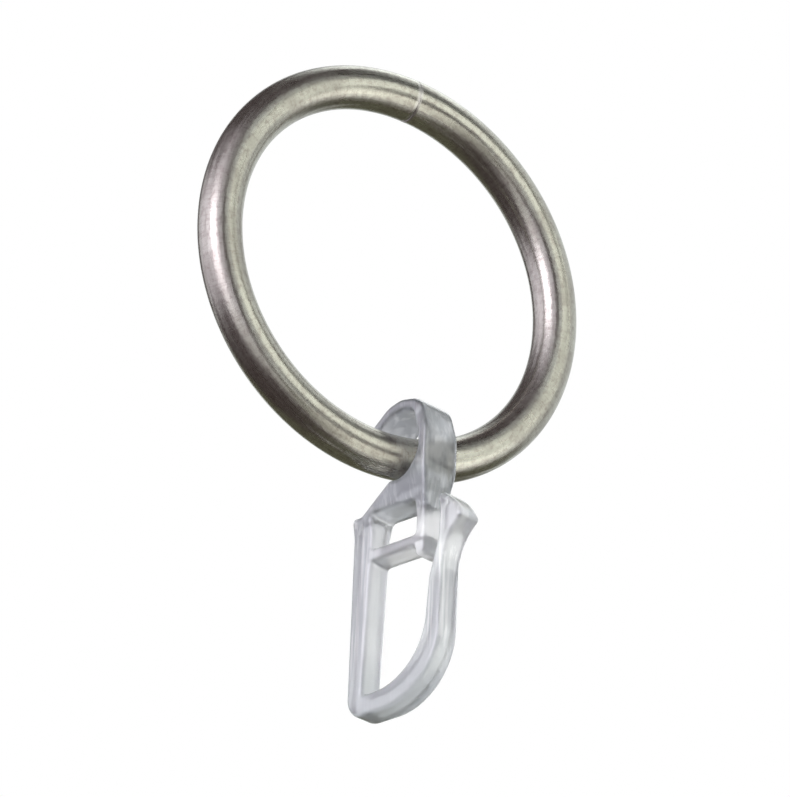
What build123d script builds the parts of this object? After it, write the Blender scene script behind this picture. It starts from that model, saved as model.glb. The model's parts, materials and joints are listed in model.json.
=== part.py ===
from build123d import *
import os
from math import cos, degrees, radians, sin

# Curtain ring with a clip-on pleat hook, in millimetres.
# The origin is the centre of the ring. The ring stands in the XZ plane, and its rod runs along Y.
# Front is -Y and up is +Z, so the hook hangs towards -Z.

# Ring: round wire bent to a circle, its two ends butted
WIRE_D = 4.0
RING_BORE = 32.0
SEAM_FROM_TOP = 7.0
SEAM_GAP = 0.06
SEAM_ROUND = 0.1

# Place of the hook: degrees along the ring from its lowest point, and degrees turned about the vertical
HOOK_STATION = 9.4
HOOK_TURN = 13.0

# Eye: a strap that clips over the wire and is open behind
EYE_PLAY = 0.8
EYE_RISE = 0.35
EYE_LIFT = 1.3
EYE_W = 4.2
STRAP_T = 1.05
BROW_H = 1.5
BROW_SETBACK = 1.0
BROW_FALL = 0.45
CROWN_AHEAD = 0.5
NAPE_BEHIND = 1.0
NAPE_FALL = 0.4
BACK_SETIN = 0.7
BACK_FALL = 2.15
CLIP_SPREAD = 0.4
CLIP_END_H = 0.1
LIP_ANGLE = 257.0

# Frame: spine, shoulder, window, crossbar and tongue
BAR_W = 2.4
TAPER_DROP = 1.8
TAPER_H = 4.7
TAPER_R = 3.0
FLOOR_T = 2.4
WINDOW_H = 3.25
WINDOW_D = 5.2
CROSSBAR_T = 1.2
TONGUE_T = 1.1
TONGUE_SETBACK = 0.6
TONGUE_R = 8.0
TONGUE_DROP = 0.85
SPINE_T = 2.4
SPINE_TAPER = 0.6
SPINE_RISE = 0.15
SHOULDER_LAND = 1.1

# Loop for the curtain tape: foot, springy arm and flared tip
LOOP_H = 12.65
LOOP_R = 6.1
FOOT_T = 2.0
FOOT_R = 6.5
HEEL_R = 2.0
ARM_SETBACK = 0.15
ARM_T = 1.75
THROAT_AHEAD = 0.25
THROAT_DROP = 3.35
NECK_DROP = 2.75
NECK_R = 3.0
MOUTH_GAP = 1.1
TIP_RISE = 0.1
TIP_REACH = 3.9
TIP_POINT_RISE = 0.45
TIP_BULGE = 0.35
TIP_HEEL_DROP = 0.75

# Rounding of the moulding, in outline and along its edges
BEND_R = 0.5
CORNER_R = 0.3
EDGE_R = 0.35

# Levels of the hook measured from the middle of the wire, forward and up positive
wire_r = WIRE_D / 2
ring_r = RING_BORE / 2 + wire_r
eye_r = wire_r + EYE_PLAY
front = eye_r + STRAP_T
crown = eye_r + EYE_LIFT + STRAP_T
ledge = EYE_RISE - eye_r - FLOOR_T
bar_top = ledge - WINDOW_H
bar_low = bar_top - CROSSBAR_T
tongue_low = bar_low - TONGUE_DROP
loop_low = bar_low - LOOP_H
foot = loop_low - FOOT_T
taper_low = -TAPER_DROP - TAPER_H
tongue_front = front - TONGUE_SETBACK
tongue_back = tongue_front - TONGUE_T
spine_in = tongue_back - WINDOW_D
spine_back = spine_in - SPINE_T
spine_top = ledge + SPINE_RISE
arm_in = front - ARM_SETBACK
arm_out = arm_in + ARM_T
tip_in = front + MOUTH_GAP

# The hook's own plane: forward across, up along it
PROFILE = Plane(origin=(0, 0, 0), x_dir=(0, -1, 0), z_dir=(-1, 0, 0))

# How near two points are one, how straight a corner counts as none, and how far sideways a flank faces
SAME_POINT = 1e-4
STRAIGHT_DEG = 170
SIDEWAYS = 0.5


def make_ring():
    """A wire of round section, turned about Y, with a hairline gap at the seam."""
    gap_angle = degrees(SEAM_GAP / ring_r)
    section = Pos(ring_r, 0) * Circle(wire_r)
    wire = revolve(section, Axis.Y, 360 - gap_angle)
    ends = wire.faces().filter_by(GeomType.PLANE)
    wire = fillet(ends.edges(), SEAM_ROUND)
    seam_angle = 90 - SEAM_FROM_TOP
    return Rot(0, -seam_angle + gap_angle / 2, 0) * wire


def move_left(points, distance):
    """An open polyline moved sideways to its left by an even distance."""
    corners = [Vector(p) for p in points]
    normals = [(b - a).normalized().rotate(Axis.Z, 90) for a, b in zip(corners, corners[1:])]
    pairs = zip([normals[0], *normals], [*normals, normals[-1]])
    mitres = [(before + after) / (1 + before.dot(after)) for before, after in pairs]
    return [corner + mitre * distance for corner, mitre in zip(corners, mitres)]


def clip_strap():
    """Side view of the strap: even in thickness from the front leg over the crown to its free end."""
    outer = [
        (front, 0),
        (front, BROW_H),
        (front - BROW_SETBACK, crown - BROW_FALL),
        (CROWN_AHEAD, crown),
        (-NAPE_BEHIND, crown - NAPE_FALL),
        (-front + BACK_SETIN, crown - BACK_FALL),
        (-front - CLIP_SPREAD, CLIP_END_H),
    ]
    inner = move_left(outer, STRAP_T)
    bends = [2 * BEND_R, BEND_R, 2 * BEND_R, 2 * BEND_R, 2 * BEND_R]
    outer_line = FilletPolyline(outer, radius=[r + STRAP_T for r in bends])
    inner_line = FilletPolyline(inner, radius=bends)
    ends = [Line(outer[0], inner[0]), Line(outer[-1], inner[-1])]
    return make_face([outer_line, inner_line, *ends])


def shoulder_and_tongue():
    """Side view of the block under the wire, with its lip behind and the tongue in front."""
    lip = (eye_r * cos(radians(LIP_ANGLE)), EYE_RISE + eye_r * sin(radians(LIP_ANGLE)))
    face_line = FilletPolyline(
        (front, 0),
        (front, -TAPER_DROP),
        (tongue_front, taper_low),
        (tongue_front, tongue_low),
        radius=TONGUE_R,
    )
    rest = Polyline(
        (tongue_front, tongue_low),
        (tongue_back, tongue_low),
        (tongue_back, ledge),
        (spine_in - SPINE_T / 2, ledge),
        (spine_back, spine_top),
        (spine_back + SHOULDER_LAND, spine_top),
        lip,
        (0, EYE_RISE),
        (front, EYE_RISE),
        (front, 0),
    )
    return make_face([face_line, rest]) - Pos(0, EYE_RISE) * Circle(eye_r)


def crossbar():
    """Side view of the bar that ties the spine to the tongue."""
    low = (spine_in - SPINE_TAPER / 2, bar_low)
    high = (spine_in - SPINE_TAPER / 2, bar_top)
    return make_face(Polyline(low, (tongue_front, bar_low), (tongue_front, bar_top), high, close=True))


def spine_and_arm():
    """Side view of the long bar: down the spine, round the foot and up the arm to the flared tip."""
    heel = (spine_back + HEEL_R, foot + HEEL_R)
    turn = (arm_out - FOOT_R, foot + FOOT_R)
    bend = (arm_in - LOOP_R, loop_low + LOOP_R)
    neck = (arm_out, bar_low - NECK_DROP)
    point = (front + TIP_REACH, bar_top + TIP_POINT_RISE)
    top = (tip_in, ledge + TIP_RISE)
    outside = [
        Line((spine_back, spine_top), (spine_back, heel[1])),
        CenterArc(heel, HEEL_R, 180, 90),
        Line((heel[0], foot), (turn[0], foot)),
        CenterArc(turn, FOOT_R, 270, 90),
        Line((arm_out, turn[1]), neck),
        TangentArc(neck, point, tangent=(0, 1)),
        SagittaArc(point, top, -TIP_BULGE),
    ]
    inside = [
        FilletPolyline(
            top,
            (tip_in, bar_top - TIP_HEEL_DROP),
            (arm_in + THROAT_AHEAD, bar_low - THROAT_DROP),
            (arm_in, bend[1]),
            radius=NECK_R,
        ),
        CenterArc(bend, LOOP_R, 0, -90),
        Polyline((bend[0], loop_low), (spine_in - SPINE_TAPER, loop_low), (spine_in, spine_top)),
        Line((spine_in, spine_top), (spine_back, spine_top)),
    ]
    return make_face(outside + inside)


def sharp_corners(outline):
    """Corners of a side view where two edges meet at an angle."""
    corners = []
    for vertex in outline.vertices():
        meeting = [e for e in outline.edges() if vertex.distance_to(e) < SAME_POINT]
        turns = []
        for edge in meeting:
            at_start = (Vector(edge @ 0) - Vector(vertex)).length < SAME_POINT
            turns.append(edge % 0 if at_start else (edge % 1) * -1)
        if len(turns) == 2 and turns[0].get_angle(turns[1]) < STRAIGHT_DEG:
            corners.append(vertex)
    return corners


def front_outline():
    """Front view: wide at the eye, narrowing to the bars."""
    eye, bar = EYE_W / 2, BAR_W / 2
    start, end = -TAPER_DROP, taper_low
    top, low = crown + STRAP_T, foot - FOOT_T
    line = FilletPolyline(
        (eye, top),
        (eye, start),
        (bar, end),
        (bar, low),
        (-bar, low),
        (-bar, end),
        (-eye, start),
        (-eye, top),
        radius=[TAPER_R, TAPER_R, 0, 0, TAPER_R, TAPER_R],
    )
    return make_face([line, Line((-eye, top), (eye, top))])


def make_hook():
    """The whole moulding, cut to its side view and its front view, then rounded along its edges."""
    side = clip_strap() + shoulder_and_tongue() + crossbar() + spine_and_arm()
    side = fillet(sharp_corners(side), CORNER_R)
    hook = extrude(PROFILE * side, EYE_W, both=True)
    depth = spine_back - front - TIP_REACH
    hook = hook & extrude(Plane.XZ * front_outline(), 2 * abs(depth), both=True)
    flanks = [f for f in hook.faces() if abs(f.normal_at().X) > SIDEWAYS]
    rims = [e for f in flanks for e in f.edges()]
    once = [e for e in rims if sum(e.is_same(other) for other in rims) == 1]
    return fillet(once, EDGE_R)


def place_on_ring(hook):
    """Turns the hook about the vertical and carries its eye to its station on the wire."""
    station = radians(HOOK_STATION)
    return Pos(ring_r * sin(station), 0, -ring_r * cos(station)) * Rot(0, 0, HOOK_TURN) * hook


os.makedirs("parts", exist_ok=True)
export_step(make_ring(), "parts/ring.step")
export_step(place_on_ring(make_hook()), "parts/hook.step")
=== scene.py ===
import json
from math import atan2, cos, pi, radians, sin

import bmesh
import bpy
from mathutils import Matrix, Vector


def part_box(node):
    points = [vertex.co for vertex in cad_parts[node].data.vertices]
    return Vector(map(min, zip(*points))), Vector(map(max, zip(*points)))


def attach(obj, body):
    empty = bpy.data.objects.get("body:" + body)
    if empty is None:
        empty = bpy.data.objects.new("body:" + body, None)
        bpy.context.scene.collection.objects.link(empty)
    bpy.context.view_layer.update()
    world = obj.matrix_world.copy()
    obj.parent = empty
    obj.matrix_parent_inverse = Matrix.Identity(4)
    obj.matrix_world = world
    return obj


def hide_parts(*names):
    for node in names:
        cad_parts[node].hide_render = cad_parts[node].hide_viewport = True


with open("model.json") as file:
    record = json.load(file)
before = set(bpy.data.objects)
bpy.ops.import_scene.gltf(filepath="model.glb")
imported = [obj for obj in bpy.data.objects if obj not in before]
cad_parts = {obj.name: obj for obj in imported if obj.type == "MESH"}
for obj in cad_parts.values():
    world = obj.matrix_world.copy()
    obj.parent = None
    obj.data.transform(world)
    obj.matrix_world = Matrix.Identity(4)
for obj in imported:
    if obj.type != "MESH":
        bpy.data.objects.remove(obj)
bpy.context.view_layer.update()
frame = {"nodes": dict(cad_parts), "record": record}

bl_info = {
    "name": "Curtain Ring with Hook",
    "version": (1, 0, 0),
    "blender": (4, 5, 0),
    "location": "3D View > Sidebar > Curtain Ring",
    "description": "Dresses a metal curtain ring and its clear clip-on hook, and sets the stage for it",
    "category": "Object",
}

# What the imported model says: its box, the ring's wire and outer diameter, and how the hook stands
RING_LOW, RING_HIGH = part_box("ring")
WIRE_D = RING_HIGH.y - RING_LOW.y
RING_D = RING_HIGH.x - RING_LOW.x
TAPE_LOOP = next(m for m in frame["record"]["mounts"] if m["name"] == "tape_loop")
HOOK_MIDDLE = Vector(TAPE_LOOP["pos_m"])
HOOK_TURN = atan2(TAPE_LOOP["axis"][1], TAPE_LOOP["axis"][0])

# Where the seam lies on the ring, from its top towards +X, and how its ends are finished
SEAM_FROM_TOP = radians(4)
SEAM_GAP = 0.000005
SEAM_ROUND = 0.00003
SEAM_STEPS = 6
FILED_START = 0.00035
FILED_FULL = 0.0002

# How near two points of a mesh are one
RING_MERGE = 1e-7
HOOK_MERGE = 1e-6

# Marks on the plating: repeats per metre along the wire, outwards and across, or the same each way
DRAWN_LINES = (160, 5200, 5200)
BRUSH_MARKS = (6500, 900, 900)
MOTTLE_MARKS = (1500, 2600, 2600)
GRAIN_MARKS = 4200
DULL_PATCHES = 240

# Values of the noise between which each mark comes in
DRAWN_RANGE = (0.3, 0.7)
BRUSH_RANGE = (0.5, 0.7)
MOTTLE_RANGE = (0.46, 0.7)
DULL_RANGE = (0.45, 0.7)
PIT_RANGE = (0.28, 0.44)
PITTED_PATCH_RANGE = (0.3, 0.6)

# What the marks do: share of tarnish, share of pits from clean to dull patches, added roughness, and depth
BRUSH_TARNISH = 0.4
MOTTLE_TARNISH = 0.55
DULL_TARNISH = 0.3
PIT_TARNISH = 0.8
PITTED_SHARE = (0.3, 0.9)
DRAWN_ROUGHNESS = 0.05
DULL_ROUGHNESS = 0.06
FILED_ROUGHNESS = 0.12
DRAWN_DEPTH = 0.0000012
BRUSH_DEPTH = 0.000001
GRAIN_DEPTH = 0.0000015
MOTTLE_DEPTH = 0.000016

# Skin of the hook: size of its cells, how far it swells, and how its edges are softened
SKIN_CELL = 0.00012
SWELL = 0.00005
SOFTEN_SHARE = 0.5
SOFTEN_ROUNDS = 12

# Zones of the hook, up from the middle of its loop, and the window's up and down from its own level
EYE_ZONE = (0.0095, 0.0125)
STRAP_ZONE = (0.0125, 0.0145)
FOOT_ZONE = (-0.005, -0.001)
WINDOW_LEVEL = 0.0072
WINDOW_ZONE = (0.0018, 0.0035)

# Zones of the hook, backwards from the middle of its loop
SPINE_ZONE = (0.0026, 0.0032)
TIP_ZONE = (-0.0042, -0.0036)

# Inner face of the spine, where a highlight is painted: how far behind the middle of the loop, how it leans,
# and how far its zone reaches
SPINE_INSIDE = 0.00345
SPINE_LEAN = 0.044
INSIDE_ZONE = (0.0001, 0.0004)

# How far up or down a face may look before its streaks, which are partly painted highlights, fade
UPRIGHT_SLOPE = (0.4, 0.8)

# Marks in the plastic, streaks that are partly painted highlights, and painted glints: repeats per metre
# across, front to back and upwards, or the same each way
FLOW_LINES = (900, 500, 160)
STREAK_LINES = (3000, 3000, 90)
GLINT_MARKS = (620, 620, 260)
PEEL = 1100

# Values of the noise between which each mark comes in
WISP_RANGE = (0.4, 0.75)
HAZE_RANGE = (0.3, 0.75)
STREAK_RANGE = (0.5, 0.62)
GLINT_RANGE = (0.5, 0.66)

# What zones and marks do: share of painted shade at the eye, of a darker tint at the spine and of the foot's
# own tint, share of painted highlight on the window, the tip, the spine's inner face and the painted glints
# in the strap, share of streaks lost, roughness, and depth
EYE_SHADE = 0.85
SPINE_TINT = 0.45
FOOT_TINT = 0.85
WINDOW_HIGHLIGHT = 0.95
TIP_HIGHLIGHT = 0.5
INSIDE_HIGHLIGHT = 0.9
GLINT_SHARE = 0.7
EYE_STREAKS_LOST = 0.75
FOOT_STREAKS_LOST = 0.9
HAZE_ROUGHNESS = 0.09
FLOW_DEPTH = 0.000006
STREAK_DEPTH = 0.000008
PEEL_DEPTH = 0.0000006
PARTING_DEPTH = 0.000006

# Stage: the floor's width and whiteness, where the walls blend from left to right, and the camera's reach
FLOOR_WIDTH = 6.0
FLOOR_WHITE = 0.75
WALL_BLEND = (-0.7, 0.1)
NEAREST = 0.01
FARTHEST = 20.0

# Softboxes: azimuth, elevation, distance, width, height, radiance and colour, in degrees and metres
SOFTBOXES = {
    "key_softbox": (-66, 12, 0.6, 0.33, 0.34, 3.9, (0.92, 0.88, 1.0)),
    "fill_softbox": (-92, 12, 0.6, 0.15, 0.34, 0.8, (0.91, 0.87, 1.0)),
    "left_softbox": (-112, 22, 0.6, 0.46, 0.34, 0.4, (0.92, 0.88, 1.0)),
    "back_softbox": (86, 66, 0.6, 0.66, 0.26, 1.2, (0.94, 1.0, 1.0)),
    "warm_softbox": (34, -8, 0.6, 0.6, 1.15, 0.85, (0.97, 1.0, 0.86)),
    "right_softbox": (60, -16, 0.6, 0.2, 0.3, 0.9, (0.97, 1.0, 0.95)),
}

# Colours of the dark cards
PLUM = (0.115, 0.09, 0.092)
OLIVE = (0.2, 0.2, 0.145)
SOOT = (0.02, 0.02, 0.015)

# Dark cards: azimuth, elevation, distance, width, height, roll and colour, in degrees and metres
DARK_CARDS = {
    "left_low_card": (-116, -49, 0.45, 0.9, 0.66, 0, PLUM),
    "left_back_card": (-152, -10, 0.5, 0.3, 0.16, 0, PLUM),
    "front_low_card": (-46, -60, 0.45, 0.44, 0.5, 0, PLUM),
    "right_low_card": (40, -80, 0.45, 0.3, 0.18, 0, OLIVE),
    "back_low_card": (150, -50, 0.45, 0.9, 0.5, 0, OLIVE),
    "right_card": (101, -22, 0.5, 0.34, 0.34, 0, OLIVE),
    "top_card": (-60, 76, 0.5, 0.7, 0.5, 0, PLUM),
    "top_front_card": (3, 70, 0.5, 0.5, 0.4, 0, PLUM),
    "top_back_card": (-158, 54, 0.5, 0.42, 0.3, 0, PLUM),
    "back_left_card": (-176, 22, 0.5, 0.2, 0.3, 0, PLUM),
    "back_card": (165, -13, 0.5, 0.8, 0.26, 0, OLIVE),
    "upper_right_strip": (42, 51, 0.5, 0.17, 0.38, -14, SOOT),
    "right_strip": (50, 23, 0.5, 0.2, 0.045, -13, PLUM),
    "right_low_strip": (75, 6, 0.5, 0.28, 0.08, -48, PLUM),
    "front_strip": (-17, 8, 0.5, 0.13, 0.5, 0, PLUM),
    "front_right_card": (22, -7, 0.5, 0.28, 0.16, 0, PLUM),
    "front_middle_card": (0, -32, 0.5, 0.16, 0.28, 0, OLIVE),
}

# Cards that also show through the clear hook
CLEAR_SHADE = ("top_card",)

# Sockets of a Mix node that blends colours, by their place
MIX_FACTOR = 0
MIX_FIRST = 6
MIX_SECOND = 7
MIX_RESULT = 2


class RingSettings(bpy.types.PropertyGroup):
    """Sizes and finish of the ring."""

    wire: bpy.props.FloatProperty(
        name="Wire", description="Diameter of the wire",
        default=WIRE_D, unit="LENGTH", precision=5)
    across: bpy.props.FloatProperty(
        name="Across", description="Outer diameter of the ring",
        default=RING_D, unit="LENGTH", precision=5)
    seam_angle: bpy.props.FloatProperty(
        name="Seam", description="Place of the seam from the top",
        default=SEAM_FROM_TOP, subtype="ANGLE")
    seam_gap: bpy.props.FloatProperty(
        name="Seam Gap", description="Gap between the butted ends",
        default=SEAM_GAP, unit="LENGTH", precision=5)
    seam_round: bpy.props.FloatProperty(
        name="Seam Rounding", description="Rounding of the ends",
        default=SEAM_ROUND, unit="LENGTH", precision=5)
    steps_along: bpy.props.IntProperty(
        name="Steps Along", description="Points along the wire", default=361, min=61)
    steps_round: bpy.props.IntProperty(
        name="Steps Round", description="Points round the wire", default=64, min=12)
    metal: bpy.props.FloatVectorProperty(
        name="Metal", description="Colour of the plating",
        default=(0.44, 0.425, 0.375), subtype="COLOR")
    tarnish: bpy.props.FloatVectorProperty(
        name="Tarnish", description="Colour of duller patches",
        default=(0.27, 0.235, 0.21), subtype="COLOR")
    filed: bpy.props.FloatVectorProperty(
        name="Filed", description="Colour of the bare metal at the seam",
        default=(0.54, 0.515, 0.48), subtype="COLOR")
    polish: bpy.props.FloatProperty(
        name="Polish", description="Roughness where it is smoothest",
        default=0.25, subtype="FACTOR")


class HookSettings(bpy.types.PropertyGroup):
    """Finish of the hook."""

    resin: bpy.props.FloatVectorProperty(
        name="Resin", description="Tint of the clear plastic",
        default=(0.62, 0.635, 0.65), subtype="COLOR")
    wisps: bpy.props.FloatVectorProperty(
        name="Wisps", description="Tint of cloudy flow lines",
        default=(0.52, 0.535, 0.555), subtype="COLOR")
    # Painted highlight colour for the streaks along the bars, the window, the spine's inner face and the
    # glints in the strap; the streaks are partly clear flow lines
    streaks: bpy.props.FloatVectorProperty(
        name="Streaks", description="Tint of clear lines along the bars",
        default=(0.99, 0.99, 1.0), subtype="COLOR")
    # Painted shade: this colour darkens the eye and shoulder where the wire behind blocks light through the
    # plastic, and also makes the spine darker
    eye: bpy.props.FloatVectorProperty(
        name="Eye", description="Tint of the thick plastic at the eye",
        default=(0.39, 0.405, 0.435), subtype="COLOR")
    foot: bpy.props.FloatVectorProperty(
        name="Foot", description="Tint of the thick plastic at the foot",
        default=(0.62, 0.645, 0.66), subtype="COLOR")
    gloss: bpy.props.FloatProperty(
        name="Gloss", description="Roughness where the mould was smoothest",
        default=0.285, subtype="FACTOR")
    parting: bpy.props.FloatProperty(
        name="Parting Line", description="Width of the line left by the mould",
        default=0.0003, unit="LENGTH", precision=5)


class StageSettings(bpy.types.PropertyGroup):
    """Floor, light and camera."""

    floor_drop: bpy.props.FloatProperty(
        name="Floor", description="Depth of the floor below the middle of the ring",
        default=0.65, unit="LENGTH")
    floor_colour: bpy.props.FloatVectorProperty(
        name="Floor Colour", description="Colour of the floor",
        default=(0.85, 0.85, 0.85), subtype="COLOR")
    surroundings: bpy.props.FloatProperty(
        name="Surroundings", description="Light of the room on dull surfaces", default=0.6)
    left_wall: bpy.props.FloatVectorProperty(
        name="Left Wall", description="Colour of the room at the left as gloss sees it",
        default=(1.13, 1.08, 1.24), subtype="COLOR")
    right_wall: bpy.props.FloatVectorProperty(
        name="Right Wall", description="Colour of the room at the right as gloss sees it",
        default=(0.97, 1.02, 1.02), subtype="COLOR")
    azimuth: bpy.props.FloatProperty(
        name="Azimuth", description="Camera's way round the object",
        default=radians(-32.464), subtype="ANGLE")
    elevation: bpy.props.FloatProperty(
        name="Elevation", description="Camera's height as an angle",
        default=radians(-25.438), subtype="ANGLE")
    roll: bpy.props.FloatProperty(
        name="Roll", description="Lean of the camera",
        default=radians(2.4), subtype="ANGLE")
    distance: bpy.props.FloatProperty(
        name="Distance", description="Camera to its aim",
        default=0.53878, unit="LENGTH")
    aim: bpy.props.FloatVectorProperty(
        name="Aim", description="Point the camera looks at",
        default=(0.003363, 0.003578, -0.010142), subtype="TRANSLATION", precision=5)
    lens: bpy.props.FloatProperty(
        name="Lens", description="Focal length in millimetres", default=271.02)


def add_node(tree, kind, inputs=None, **settings):
    """A new node with its settings made, and its inputs set to values or linked to other nodes."""
    node = tree.nodes.new(kind)
    for name, value in settings.items():
        setattr(node, name, value)
    for name, value in (inputs or {}).items():
        if isinstance(value, bpy.types.NodeSocket):
            tree.links.new(value, node.inputs[name])
        else:
            node.inputs[name].default_value = value
    return node


def maths(tree, operation, *values):
    """The output of a Math node."""
    return add_node(tree, "ShaderNodeMath", dict(enumerate(values)), operation=operation).outputs[0]


def split(tree, vector):
    """The X, Y and Z of a vector."""
    return add_node(tree, "ShaderNodeSeparateXYZ", {"Vector": vector}).outputs


def spread(tree, value, low, high, to_low=0.0, to_high=1.0):
    """A value taken from one range to another, and held within it."""
    inputs = {"Value": value, "From Min": low, "From Max": high, "To Min": to_low, "To Max": to_high}
    return add_node(tree, "ShaderNodeMapRange", inputs, interpolation_type="SMOOTHSTEP").outputs[0]


def fade(tree, value, near, far, most=1.0):
    """The most up to a near value, and none from a far one on."""
    return spread(tree, value, near, far, most, 0.0)


def noise(tree, vector, scale=1.0, detail=2.0):
    """The grey output of a noise texture."""
    inputs = {"Vector": vector, "Scale": scale, "Detail": detail}
    return add_node(tree, "ShaderNodeTexNoise", inputs).outputs[0]


def stretch(tree, vector, scale):
    """Coordinates scaled by a different amount along each axis."""
    return add_node(tree, "ShaderNodeMapping", {"Vector": vector, "Scale": scale}).outputs[0]


def blend_colours(tree, factor, first, second):
    """A colour between two others."""
    node = add_node(tree, "ShaderNodeMix", data_type="RGBA")
    for place, value in ((MIX_FACTOR, factor), (MIX_FIRST, first), (MIX_SECOND, second)):
        if isinstance(value, bpy.types.NodeSocket):
            tree.links.new(value, node.inputs[place])
        else:
            node.inputs[place].default_value = (*value, 1.0)
    return node.outputs[MIX_RESULT]


def raise_surface(tree, marks):
    """The normal of a surface with marks on it, given as pairs of height and real depth in metres."""
    inputs = {}
    for height, depth in marks:
        bump = add_node(tree, "ShaderNodeBump", {"Height": height, "Distance": depth, **inputs})
        inputs["Normal"] = bump.outputs[0]
    return inputs["Normal"]


def new_material(name):
    """An empty node material, its tree and its output node."""
    material = bpy.data.materials.new(name)
    material.use_nodes = True
    material.node_tree.nodes.clear()
    output = material.node_tree.nodes.new("ShaderNodeOutputMaterial")
    return material, material.node_tree, output


def path_radius(settings):
    """Radius of the circle that the middle of the wire follows."""
    return (settings.across - settings.wire) / 2


def wire_coordinates(tree, settings):
    """Object coordinates unrolled: way along the wire from opposite the seam, way outwards, way across."""
    place = add_node(tree, "ShaderNodeTexCoord").outputs["Object"]
    seam_down = (0, pi - settings.seam_angle, 0)
    turned = add_node(tree, "ShaderNodeMapping", {"Vector": place, "Rotation": seam_down}).outputs[0]
    axes = split(tree, turned)
    angle = maths(tree, "ARCTAN2", axes["X"], axes["Z"])
    square_x = maths(tree, "POWER", axes["X"], 2.0)
    square_z = maths(tree, "POWER", axes["Z"], 2.0)
    radius = maths(tree, "SQRT", maths(tree, "ADD", square_x, square_z))
    outwards = maths(tree, "SUBTRACT", radius, path_radius(settings))
    along = maths(tree, "MULTIPLY", angle, path_radius(settings))
    return add_node(tree, "ShaderNodeCombineXYZ", {"X": along, "Y": outwards, "Z": axes["Y"]}).outputs[0]


def satin_plating(settings):
    """Drawn and plated wire: fine lines along it, small pits, duller patches and bare metal at the seam."""
    material, tree, output = new_material("satin_plating")
    wire = wire_coordinates(tree, settings)
    lines = noise(tree, stretch(tree, wire, DRAWN_LINES), detail=3.0)
    brushing = noise(tree, stretch(tree, wire, BRUSH_MARKS))
    grain = noise(tree, wire, GRAIN_MARKS, detail=3.0)
    patches = noise(tree, wire, DULL_PATCHES, detail=4.0)
    mottle = noise(tree, stretch(tree, wire, MOTTLE_MARKS), detail=4.0)
    dull = spread(tree, patches, *DULL_RANGE)
    pitted = spread(tree, patches, *PITTED_PATCH_RANGE, *PITTED_SHARE)
    pits = maths(tree, "MULTIPLY", fade(tree, grain, *PIT_RANGE), pitted)
    from_opposite = maths(tree, "ABSOLUTE", split(tree, wire)["X"])
    half_way = path_radius(settings) * pi
    filed = spread(tree, from_opposite, half_way - FILED_START, half_way - FILED_FULL)

    # Tarnish of every kind of mark on the plain metal
    colour = settings.metal
    for share in (
        maths(tree, "MULTIPLY", dull, DULL_TARNISH),
        maths(tree, "MULTIPLY", pits, PIT_TARNISH),
        spread(tree, mottle, *MOTTLE_RANGE, 0.0, MOTTLE_TARNISH),
        spread(tree, brushing, *BRUSH_RANGE, 0.0, BRUSH_TARNISH),
    ):
        colour = blend_colours(tree, share, colour, settings.tarnish)
    colour = blend_colours(tree, filed, colour, settings.filed)

    roughness = settings.polish
    for mark, added in (
        (dull, DULL_ROUGHNESS),
        (filed, FILED_ROUGHNESS),
        (spread(tree, lines, *DRAWN_RANGE), DRAWN_ROUGHNESS),
    ):
        roughness = maths(tree, "MULTIPLY_ADD", mark, added, roughness)
    normal = raise_surface(tree, (
        (lines, DRAWN_DEPTH), (brushing, BRUSH_DEPTH), (grain, GRAIN_DEPTH), (mottle, MOTTLE_DEPTH)))
    along = add_node(tree, "ShaderNodeTangent", direction_type="RADIAL", axis="Y").outputs[0]
    shader = add_node(tree, "ShaderNodeBsdfPrincipled", {
        "Base Color": colour, "Metallic": 1.0, "Roughness": roughness, "Normal": normal,
        "Anisotropic": 0.6, "Tangent": along})
    tree.links.new(shader.outputs[0], output.inputs["Surface"])
    return material


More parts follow.
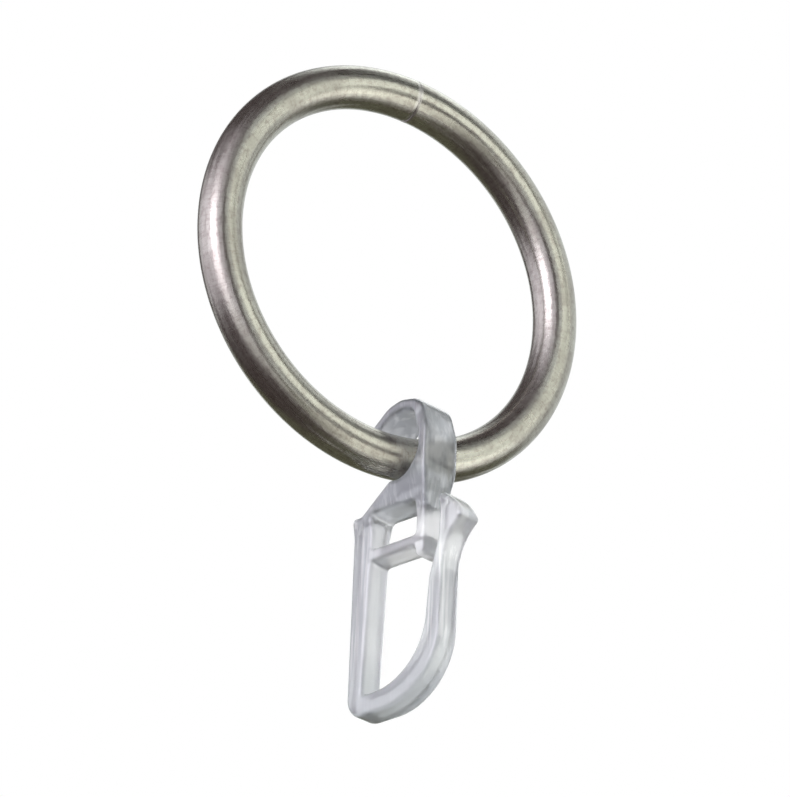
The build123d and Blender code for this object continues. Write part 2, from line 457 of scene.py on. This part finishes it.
def clear_resin(settings):
    """Clear moulded plastic: cloudy flow lines, painted shade at the eye and shoulder, a darker spine,
    streaks along its bars that are partly painted highlights, painted highlights on the window and the
    spine's inner face, painted glints in the strap, and a parting line.
    """
    material, tree, output = new_material("clear_resin")
    place = add_node(tree, "ShaderNodeTexCoord").outputs
    own = add_node(tree, "ShaderNodeMapping", {
        "Vector": place["Object"], "Location": HOOK_MIDDLE, "Rotation": (0, 0, HOOK_TURN)},
        vector_type="TEXTURE").outputs[0]
    axes = split(tree, own)

    # Marks in the plastic, with streaks that are partly painted highlights only where a face stands upright
    slope = maths(tree, "ABSOLUTE", split(tree, place["Normal"])["Z"])
    upright = fade(tree, slope, *UPRIGHT_SLOPE)
    flow = noise(tree, stretch(tree, own, FLOW_LINES), detail=3.0)
    peel = noise(tree, own, PEEL)
    glint_noise = noise(tree, stretch(tree, own, GLINT_MARKS), detail=3.0)
    lines = noise(tree, stretch(tree, own, STREAK_LINES), detail=3.0)
    lines = maths(tree, "MULTIPLY", lines, upright)
    off_middle = maths(tree, "ABSOLUTE", axes["X"])
    parting = fade(tree, off_middle, 0.0, settings.parting / 2)

    # Eye, strap, foot and spine
    at_eye = spread(tree, axes["Z"], *EYE_ZONE)
    at_strap = spread(tree, axes["Z"], *STRAP_ZONE)
    at_foot = fade(tree, axes["Z"], *FOOT_ZONE)
    below_eye = maths(tree, "SUBTRACT", 1.0, at_eye)
    before_spine = fade(tree, axes["Y"], *SPINE_ZONE)
    at_spine = maths(tree, "MULTIPLY", maths(tree, "SUBTRACT", 1.0, before_spine), below_eye)

    # The window's tongue and crossbar, less so the tip before them, and the inner face of the spine, which
    # all get painted highlights
    from_window = maths(tree, "ABSOLUTE", maths(tree, "SUBTRACT", axes["Z"], WINDOW_LEVEL))
    behind_tip = spread(tree, axes["Y"], *TIP_ZONE, TIP_HIGHLIGHT, 1.0)
    at_frame = maths(tree, "MULTIPLY", before_spine, behind_tip)
    at_window = maths(tree, "MULTIPLY", fade(tree, from_window, *WINDOW_ZONE, WINDOW_HIGHLIGHT), at_frame)
    leaning = maths(tree, "MULTIPLY_ADD", axes["Z"], SPINE_LEAN, axes["Y"])
    from_inside = maths(tree, "ABSOLUTE", maths(tree, "SUBTRACT", leaning, SPINE_INSIDE))
    at_inside = fade(tree, from_inside, *INSIDE_ZONE, INSIDE_HIGHLIGHT)

    # Streaks along the bars, partly clear flow lines and partly painted highlights, joined by the painted
    # highlight of the spine's inner face, and fewer at the eye and the foot
    lost_at_foot = maths(tree, "MULTIPLY", at_foot, FOOT_STREAKS_LOST)
    lost = maths(tree, "MULTIPLY_ADD", at_eye, EYE_STREAKS_LOST, lost_at_foot)
    clear = maths(tree, "MAXIMUM", spread(tree, lines, *STREAK_RANGE), at_inside)
    streaks = maths(tree, "MULTIPLY", clear, maths(tree, "SUBTRACT", 1.0, lost))
    # Painted glints: patches of painted reflection in the strap
    glints = maths(tree, "MULTIPLY", spread(tree, glint_noise, *GLINT_RANGE, 0.0, GLINT_SHARE), at_strap)

    # Colour: the resin's own tint, cloudy wisps, painted shade at the eye and shoulder, a darker spine, the
    # foot's tint, then painted highlights on the streaks, the window, the spine's inner face and in the strap
    colour = settings.resin
    for share, tint in (
        (spread(tree, flow, *WISP_RANGE), settings.wisps),
        (maths(tree, "MULTIPLY", at_eye, EYE_SHADE), settings.eye),
        (maths(tree, "MULTIPLY", at_spine, SPINE_TINT), settings.eye),
        (maths(tree, "MULTIPLY", at_foot, FOOT_TINT), settings.foot),
        (maths(tree, "MAXIMUM", streaks, at_window), settings.streaks),
        (glints, settings.streaks),
    ):
        colour = blend_colours(tree, share, colour, tint)
    roughness = spread(tree, flow, *HAZE_RANGE, settings.gloss, settings.gloss + HAZE_ROUGHNESS)
    normal = raise_surface(tree, (
        (flow, FLOW_DEPTH), (lines, STREAK_DEPTH), (peel, PEEL_DEPTH), (parting, PARTING_DEPTH)))
    shader = add_node(tree, "ShaderNodeBsdfPrincipled", {
        "Base Color": colour, "Roughness": roughness, "Normal": normal,
        "IOR": 1.5, "Transmission Weight": 0.88,
        "Subsurface Weight": 1.0, "Subsurface Radius": (1.0, 1.0, 1.0), "Subsurface Scale": 0.0012,
        "Coat Weight": 1.0, "Coat Roughness": 0.1})
    depth = add_node(tree, "ShaderNodeVolumeAbsorption", {"Color": (0.45, 0.5, 0.6, 1.0), "Density": 45.0})
    tree.links.new(shader.outputs[0], output.inputs["Surface"])
    tree.links.new(depth.outputs[0], output.inputs["Volume"])
    return material


def wire_tree(material):
    """Geometry Nodes: a round wire bent to a circle, open at its seam, with rounded ends."""
    tree = bpy.data.node_groups.new("bent_wire", "GeometryNodeTree")
    for name in ("Wire Radius", "Path Radius", "Seam Angle", "Seam Gap", "Seam Rounding"):
        tree.interface.new_socket(name, in_out="INPUT", socket_type="NodeSocketFloat")
    for name in ("Steps Along", "Steps Round", "End Steps"):
        tree.interface.new_socket(name, in_out="INPUT", socket_type="NodeSocketInt")
    tree.interface.new_socket("Geometry", in_out="OUTPUT", socket_type="NodeSocketGeometry")
    sizes = add_node(tree, "NodeGroupInput").outputs
    path_r = sizes["Path Radius"]
    rounding = sizes["Seam Rounding"]

    # Steps from the nearer end: the first few climb the rounding, and the rest share out half of the wire
    index = add_node(tree, "GeometryNodeInputIndex").outputs[0]
    last = maths(tree, "SUBTRACT", sizes["Steps Along"], 1.0)
    middle = maths(tree, "MULTIPLY", last, 0.5)
    step = maths(tree, "MINIMUM", index, maths(tree, "SUBTRACT", last, index))
    climb = maths(tree, "MULTIPLY", maths(tree, "DIVIDE", step, sizes["End Steps"]), pi / 2)
    climb = maths(tree, "MINIMUM", climb, pi / 2)
    rise = maths(tree, "MULTIPLY", rounding, maths(tree, "SUBTRACT", 1.0, maths(tree, "COSINE", climb)))
    half_turn = maths(tree, "MULTIPLY", path_r, pi)
    half = maths(tree, "SUBTRACT", half_turn, maths(tree, "MULTIPLY", sizes["Seam Gap"], 0.5))
    run = maths(tree, "SUBTRACT", middle, sizes["End Steps"])
    done = maths(tree, "DIVIDE", maths(tree, "SUBTRACT", step, sizes["End Steps"]), run)
    straight = maths(tree, "SUBTRACT", half, rounding)
    share = maths(tree, "MULTIPLY", maths(tree, "MAXIMUM", done, 0.0), straight)
    from_end = maths(tree, "ADD", rise, share)

    # Place round the circle, measured from the point opposite the seam
    side = maths(tree, "SIGN", maths(tree, "SUBTRACT", index, middle))
    way = maths(tree, "MULTIPLY", side, maths(tree, "SUBTRACT", half, from_end))
    turn = maths(tree, "ADD", maths(tree, "DIVIDE", way, path_r), sizes["Seam Angle"])
    across = maths(tree, "MULTIPLY", maths(tree, "SINE", turn), path_r)
    upwards = maths(tree, "MULTIPLY", maths(tree, "COSINE", turn), path_r)
    place = add_node(tree, "ShaderNodeCombineXYZ", {
        "X": maths(tree, "MULTIPLY", across, -1.0), "Z": maths(tree, "MULTIPLY", upwards, -1.0)}).outputs[0]
    line = add_node(tree, "GeometryNodeMeshLine", {"Count": sizes["Steps Along"]}).outputs[0]
    bent = add_node(tree, "GeometryNodeSetPosition", {"Geometry": line, "Position": place}).outputs[0]
    path = add_node(tree, "GeometryNodeMeshToCurve", {"Mesh": bent}).outputs[0]

    # Section of the wire, drawn in where the ends are rounded
    shrunk = maths(tree, "MULTIPLY", rounding, maths(tree, "SUBTRACT", 1.0, maths(tree, "SINE", climb)))
    share_left = maths(tree, "SUBTRACT", 1.0, maths(tree, "DIVIDE", shrunk, sizes["Wire Radius"]))
    section = add_node(tree, "GeometryNodeCurvePrimitiveCircle", {
        "Resolution": sizes["Steps Round"], "Radius": sizes["Wire Radius"]}).outputs[0]
    wire = add_node(tree, "GeometryNodeCurveToMesh", {
        "Curve": path, "Profile Curve": section, "Scale": share_left, "Fill Caps": True}).outputs[0]
    smooth = add_node(tree, "GeometryNodeSetShadeSmooth", {"Geometry": wire}).outputs[0]
    real = add_node(tree, "GeometryNodeRealizeInstances", {"Geometry": smooth}).outputs[0]
    dressed = add_node(tree, "GeometryNodeSetMaterial", {"Geometry": real, "Material": material}).outputs[0]
    add_node(tree, "NodeGroupOutput", {"Geometry": dressed})
    return tree


def plain_mesh(piece):
    """Makes a piece's modifiers real in its mesh."""
    depsgraph = bpy.context.evaluated_depsgraph_get()
    mesh = bpy.data.meshes.new_from_object(piece.evaluated_get(depsgraph), depsgraph=depsgraph)
    piece.modifiers.clear()
    piece.data = mesh
    if not mesh.polygons:
        raise RuntimeError(f"{piece.name} came out empty")


def new_piece(name, mesh):
    """An object at the origin for a mesh."""
    piece = bpy.data.objects.new(name, mesh)
    bpy.context.scene.collection.objects.link(piece)
    return piece


def close_mesh(mesh, near):
    """Merges points that are one, and turns every face outwards."""
    work = bmesh.new()
    work.from_mesh(mesh)
    bmesh.ops.remove_doubles(work, verts=work.verts, dist=near)
    bmesh.ops.recalc_face_normals(work, faces=work.faces)
    work.to_mesh(mesh)
    work.free()


class CURTAIN_OT_make_ring(bpy.types.Operator):
    """Bends the wire to a ring and plates it"""

    bl_idname = "curtain.make_ring"
    bl_label = "Make Ring"

    def execute(self, context):
        settings = context.scene.curtain_ring
        tree = wire_tree(satin_plating(settings))
        sizes = {
            "Wire Radius": settings.wire / 2,
            "Path Radius": path_radius(settings),
            "Seam Angle": settings.seam_angle,
            "Seam Gap": settings.seam_gap,
            "Seam Rounding": settings.seam_round,
            "Steps Along": settings.steps_along,
            "Steps Round": settings.steps_round,
            "End Steps": SEAM_STEPS,
        }
        ring = new_piece("wire_ring", bpy.data.meshes.new("wire_ring"))
        bend = ring.modifiers.new("bent_wire", "NODES")
        bend.node_group = tree
        for item in tree.interface.items_tree:
            if item.in_out == "INPUT":
                bend[item.identifier] = sizes[item.name]
        plain_mesh(ring)
        close_mesh(ring.data, RING_MERGE)
        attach(ring, "ring")
        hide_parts("ring")
        return {"FINISHED"}


class CURTAIN_OT_make_hook(bpy.types.Operator):
    """Smooths the hook's moulding and makes it clear"""

    bl_idname = "curtain.make_hook"
    bl_label = "Make Hook"

    def execute(self, context):
        mesh = frame["nodes"]["hook"].data.copy()
        mesh.name = "clear_hook"
        close_mesh(mesh, HOOK_MERGE)
        mesh.materials.clear()
        mesh.materials.append(clear_resin(context.scene.curtain_hook))
        hook = new_piece("clear_hook", mesh)
        skin = hook.modifiers.new("even_skin", "REMESH")
        skin.mode = "VOXEL"
        skin.voxel_size = SKIN_CELL
        skin.use_smooth_shade = True
        swell = hook.modifiers.new("swell", "DISPLACE")
        swell.strength = SWELL
        swell.mid_level = 0.0
        soften = hook.modifiers.new("soft_edges", "SMOOTH")
        soften.factor = SOFTEN_SHARE
        soften.iterations = SOFTEN_ROUNDS
        plain_mesh(hook)
        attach(hook, "hook")
        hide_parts("hook")
        return {"FINISHED"}


def direction(turn, lift):
    """Unit vector from the object: turn is from the front towards +X, and lift is above the horizon."""
    return Vector((sin(turn) * cos(lift), -cos(turn) * cos(lift), sin(lift)))


def facing(azimuth, elevation, distance, roll=0.0):
    """Placement in that direction, with local Z pointing away, so that a lamp there lights the object."""
    way = direction(radians(azimuth), radians(elevation))
    aimed = way.to_track_quat("Z", "Y").to_matrix().to_4x4()
    return Matrix.Translation(way * distance) @ aimed @ Matrix.Rotation(radians(roll), 4, "Z")


def seen_directly(tree):
    """One for a ray of the camera, of gloss or through glass, and none for others."""
    path = add_node(tree, "ShaderNodeLightPath").outputs
    mirrored = maths(tree, "MAXIMUM", path["Is Glossy Ray"], path["Is Transmission Ray"])
    return maths(tree, "MAXIMUM", path["Is Camera Ray"], mirrored)


def background_world(settings):
    """White to the camera and glass, tinted walls to gloss, and plain room light on dull surfaces."""
    world = bpy.data.worlds.new("white_room")
    world.use_nodes = True
    tree = world.node_tree
    tree.nodes.clear()
    strength = spread(tree, seen_directly(tree), 0.0, 1.0, settings.surroundings, 1.0)
    way = add_node(tree, "ShaderNodeTexCoord").outputs["Generated"]
    to_right = spread(tree, split(tree, way)["X"], *WALL_BLEND)
    walls = blend_colours(tree, to_right, settings.left_wall, settings.right_wall)
    path = add_node(tree, "ShaderNodeLightPath").outputs
    not_through = maths(tree, "SUBTRACT", 1.0, path["Is Transmission Ray"])
    gloss = maths(tree, "MULTIPLY", path["Is Glossy Ray"], not_through)
    colour = blend_colours(tree, gloss, (1, 1, 1), walls)
    light = add_node(tree, "ShaderNodeBackground", {"Color": colour, "Strength": strength})
    output = add_node(tree, "ShaderNodeOutputWorld")
    tree.links.new(light.outputs[0], output.inputs["Surface"])
    return world


def floor_paint(settings):
    """Pale paint that shows nearly white and still takes a shadow."""
    material, tree, output = new_material("floor_paint")
    dull = add_node(tree, "ShaderNodeBsdfDiffuse", {"Color": (*settings.floor_colour, 1.0)}).outputs[0]
    white = add_node(tree, "ShaderNodeEmission", {"Color": (1, 1, 1, 1), "Strength": 1.0}).outputs[0]
    share = maths(tree, "MULTIPLY", seen_directly(tree), FLOOR_WHITE)
    both = add_node(tree, "ShaderNodeMixShader", {0: share, 1: dull, 2: white}).outputs[0]
    tree.links.new(both, output.inputs["Surface"])
    return material


def card_paint(colour):
    """Matt dark paint of the cards."""
    material, tree, output = new_material("card_paint")
    dull = add_node(tree, "ShaderNodeBsdfDiffuse", {"Color": (*colour, 1.0)}).outputs[0]
    tree.links.new(dull, output.inputs["Surface"])
    return material


def rectangle(name, width, height, placement, material):
    """A flat rectangle as part of the stage."""
    x, y = width / 2, height / 2
    corners = [(-x, -y, 0), (x, -y, 0), (x, y, 0), (-x, y, 0)]
    mesh = bpy.data.meshes.new(name)
    mesh.from_pydata([placement @ Vector(corner) for corner in corners], [], [(0, 1, 2, 3)])
    mesh.materials.append(material)
    sheet = new_piece(name, mesh)
    return sheet


def add_cards():
    """Dark cards that only gloss sees, apart from those that shade the clear hook."""
    paints = {colour: card_paint(colour) for colour in (PLUM, OLIVE, SOOT)}
    for name, (azimuth, elevation, distance, width, height, roll, colour) in DARK_CARDS.items():
        placement = facing(azimuth, elevation, distance, roll)
        card = rectangle(name, width, height, placement, paints[colour])
        card.visible_camera = False
        card.visible_diffuse = False
        card.visible_transmission = name in CLEAR_SHADE


def add_softboxes(scene):
    """Soft lamps round the object, out of the camera's sight."""
    for name, (azimuth, elevation, distance, width, height, radiance, colour) in SOFTBOXES.items():
        lamp = bpy.data.lights.new(name, "AREA")
        lamp.shape = "RECTANGLE"
        lamp.size = width
        lamp.size_y = height
        lamp.energy = radiance * pi * width * height
        lamp.color = colour
        box = bpy.data.objects.new(name, lamp)
        box.matrix_world = facing(azimuth, elevation, distance)
        box.visible_camera = False
        scene.collection.objects.link(box)


def add_camera(scene, settings):
    """A long lens at the angle of the photograph."""
    lens = bpy.data.cameras.new("camera")
    lens.lens = settings.lens
    lens.clip_start = NEAREST
    lens.clip_end = FARTHEST
    camera = bpy.data.objects.new("camera", lens)
    back = direction(settings.azimuth, settings.elevation)
    right = Vector((cos(settings.azimuth), sin(settings.azimuth), 0))
    axes = Matrix((right, back.cross(right), back)).transposed().to_4x4()
    place = Matrix.Translation(Vector(settings.aim) + back * settings.distance)
    camera.matrix_world = place @ axes @ Matrix.Rotation(settings.roll, 4, "Z")
    scene.collection.objects.link(camera)
    scene.camera = camera


class CURTAIN_OT_set_stage(bpy.types.Operator):
    """Sets the floor, the light and the camera"""

    bl_idname = "curtain.set_stage"
    bl_label = "Set Stage"

    def execute(self, context):
        scene = context.scene
        settings = scene.curtain_stage
        scene.view_settings.view_transform = "Standard"
        scene.world = background_world(settings)
        below = Matrix.Translation((0, 0, -settings.floor_drop))
        rectangle("pale_floor", FLOOR_WIDTH, FLOOR_WIDTH, below, floor_paint(settings))
        add_cards()
        add_softboxes(scene)
        add_camera(scene, settings)
        return {"FINISHED"}


class CURTAIN_PT_sidebar(bpy.types.Panel):
    """Lists the pieces and the stage"""

    bl_label = "Curtain Ring"
    bl_space_type = "VIEW_3D"
    bl_region_type = "UI"
    bl_category = "Curtain Ring"

    def draw(self, context):
        for settings, operator in (
            (context.scene.curtain_ring, CURTAIN_OT_make_ring),
            (context.scene.curtain_hook, CURTAIN_OT_make_hook),
            (context.scene.curtain_stage, CURTAIN_OT_set_stage),
        ):
            column = self.layout.column(align=True)
            for name in type(settings).__annotations__:
                column.prop(settings, name)
            column.operator(operator.bl_idname)


CLASSES = (
    RingSettings,
    HookSettings,
    StageSettings,
    CURTAIN_OT_make_ring,
    CURTAIN_OT_make_hook,
    CURTAIN_OT_set_stage,
    CURTAIN_PT_sidebar,
)


def register():
    for cls in CLASSES:
        bpy.utils.register_class(cls)
    bpy.types.Scene.curtain_ring = bpy.props.PointerProperty(type=RingSettings)
    bpy.types.Scene.curtain_hook = bpy.props.PointerProperty(type=HookSettings)
    bpy.types.Scene.curtain_stage = bpy.props.PointerProperty(type=StageSettings)


def unregister():
    del bpy.types.Scene.curtain_stage
    del bpy.types.Scene.curtain_hook
    del bpy.types.Scene.curtain_ring
    for cls in reversed(CLASSES):
        bpy.utils.unregister_class(cls)


def main():
    register()
    bpy.ops.curtain.make_ring()
    bpy.ops.curtain.make_hook()
    bpy.ops.curtain.set_stage()


if __name__ == "__main__":
    main()
